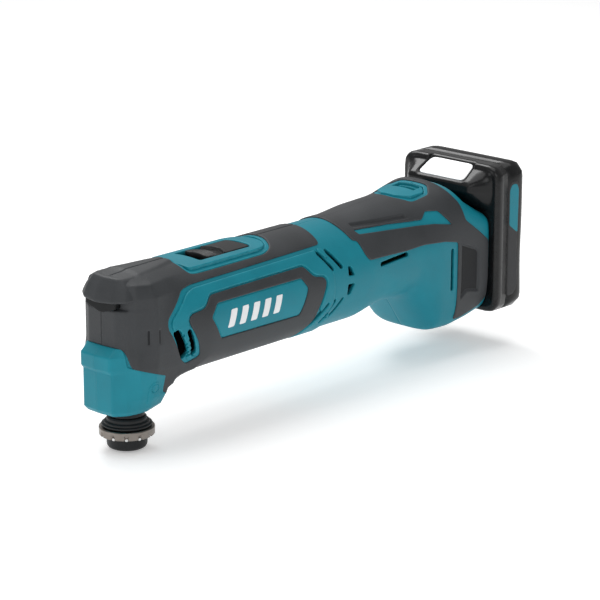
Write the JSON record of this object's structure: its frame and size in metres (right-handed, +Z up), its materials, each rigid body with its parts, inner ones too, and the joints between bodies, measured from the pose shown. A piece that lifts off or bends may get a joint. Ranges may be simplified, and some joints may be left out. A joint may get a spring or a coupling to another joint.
{
  "type": "cordless oscillating multi-tool",
  "caption": "Slim cordless oscillating multi-tool: rubber-gripped barrel, toothed accessory clamp under the nose, slide switch, speed dial and slide-off battery.",
  "frame": {"origin": "on the spindle's axis, level with the lowest face of the accessory clamp", "axes": "+X from the nose to the battery, along the motor's axis; +Y to the tool's right; +Z up, along the spindle, away from the accessory"},
  "size_m": [0.2816, 0.065, 0.098],
  "materials": {
    "teal_nylon": "moulded glass-filled nylon, fine texture",
    "grip_rubber": "matt moulded elastomer",
    "black_plastic": "moulded, semi-gloss",
    "grey_plastic": "moulded, fine texture",
    "dark_steel": "turned and tempered",
    "bright_steel": "ground",
    "cast_aluminium": "die cast",
    "copper": "bare copper",
    "brass": "turned",
    "carbon": "pressed carbon",
    "ferrite": "sintered",
    "circuit_green": "solder mask",
    "clear_lens": "clear moulded lens",
    "cell_wrap": "shrink wrap over a steel can",
    "lead_red": "wire insulation",
    "lead_black": "wire insulation"
  },
  "bodies": {
    "housing": {"battery_lead_black": "lead_black", "battery_lead_red": "lead_red", "carbon_brush_1": "carbon", "carbon_brush_2": "carbon", "controller_board": "circuit_green", "dial_cover": "teal_nylon", "gear_case": "cast_aluminium", "housing_screw_1": "dark_steel", "housing_screw_2": "dark_steel", "housing_screw_3": "dark_steel", "housing_screw_4": "dark_steel", "led_board": "circuit_green", "led_lens": "clear_lens", "left_front_overmould": "grip_rubber", "left_housing_shell": "teal_nylon", "left_nameplate": "teal_nylon", "left_rear_overmould": "grip_rubber", "micro_switch": "black_plastic", "motor_bracket": "cast_aluminium", "motor_can": "dark_steel", "motor_end_bell": "black_plastic", "motor_front_bearing": "bright_steel", "motor_lead_black": "lead_black", "motor_lead_red": "lead_red", "motor_magnet_1": "ferrite", "motor_magnet_2": "ferrite", "motor_rear_bearing": "bright_steel", "right_front_overmould": "grip_rubber", "right_housing_shell": "teal_nylon", "right_nameplate": "teal_nylon", "right_rear_overmould": "grip_rubber", "speed_potentiometer": "grey_plastic", "spindle_lower_bearing": "bright_steel", "spindle_upper_bearing": "bright_steel", "switch_plate": "teal_nylon", "terminal_block": "black_plastic", "terminal_minus": "copper", "terminal_plus": "copper"},
    "rotor": {"motor_shaft": "bright_steel", "armature_core": "copper", "commutator": "copper", "cooling_fan": "black_plastic", "counterweight": "brass", "eccentric_bearing": "bright_steel"},
    "spindle": {"spindle": "bright_steel", "swing_arm": "dark_steel", "holder_flange": "dark_steel", "dust_cover": "grip_rubber"},
    "clamp": {"clamp_flange": "black_plastic"},
    "bolt": {"clamp_bolt": "dark_steel"},
    "slider": {"switch_slider": "black_plastic", "switch_rod": "grey_plastic"},
    "dial": {"speed_dial": "black_plastic"},
    "battery": {"battery_front_case": "black_plastic", "battery_rear_case": "grey_plastic", "battery_cell_1": "cell_wrap", "battery_cell_2": "cell_wrap", "battery_cell_3": "cell_wrap", "release_spring": "bright_steel"},
    "button": {"release_button": "black_plastic"}
  },
  "joints": [
    {"name": "motor_spin", "type": "hinge", "parent": "housing", "child": "rotor", "pos_m": [0.05, 0, 0.0582], "axis": [1, 0, 0], "continuous": true},
    {"name": "spindle_swing", "type": "hinge", "parent": "housing", "child": "spindle", "pos_m": [0, 0, 0.0582], "axis": [0, 0, 1], "range_deg": [-1.6, 1.6]},
    {"name": "clamp_lower", "type": "slide", "parent": "spindle", "child": "clamp", "axis": [0, 0, -1], "range_m": [0, 0.008]},
    {"name": "clamp_bolt_turn", "type": "hinge", "parent": "clamp", "child": "bolt", "pos_m": [0, 0, 0.003], "axis": [0, 0, -1], "range_deg": [0, 2304.01]},
    {"name": "switch_slide", "type": "slide", "parent": "housing", "child": "slider", "axis": [-1, 0, 0], "range_m": [0, 0.006]},
    {"name": "speed_dial_turn", "type": "hinge", "parent": "housing", "child": "dial", "pos_m": [0.201, 0, 0.0763], "axis": [1, 0, 0], "range_deg": [0, 240]},
    {"name": "battery_slide", "type": "slide", "parent": "housing", "child": "battery", "axis": [0, 0, 1], "range_m": [0, 0.075]},
    {"name": "release_press", "type": "slide", "parent": "battery", "child": "button", "axis": [0.5115, 0, -0.8593], "range_m": [0, 0.002], "stiffness_N_per_m": 400, "springref_m": -0.001, "deforming": ["release_spring"]}
  ],
  "couplings": [
    {"joint": "clamp_bolt_turn", "follows": "clamp_lower", "rad_per_m": 5026.5}
  ]
}
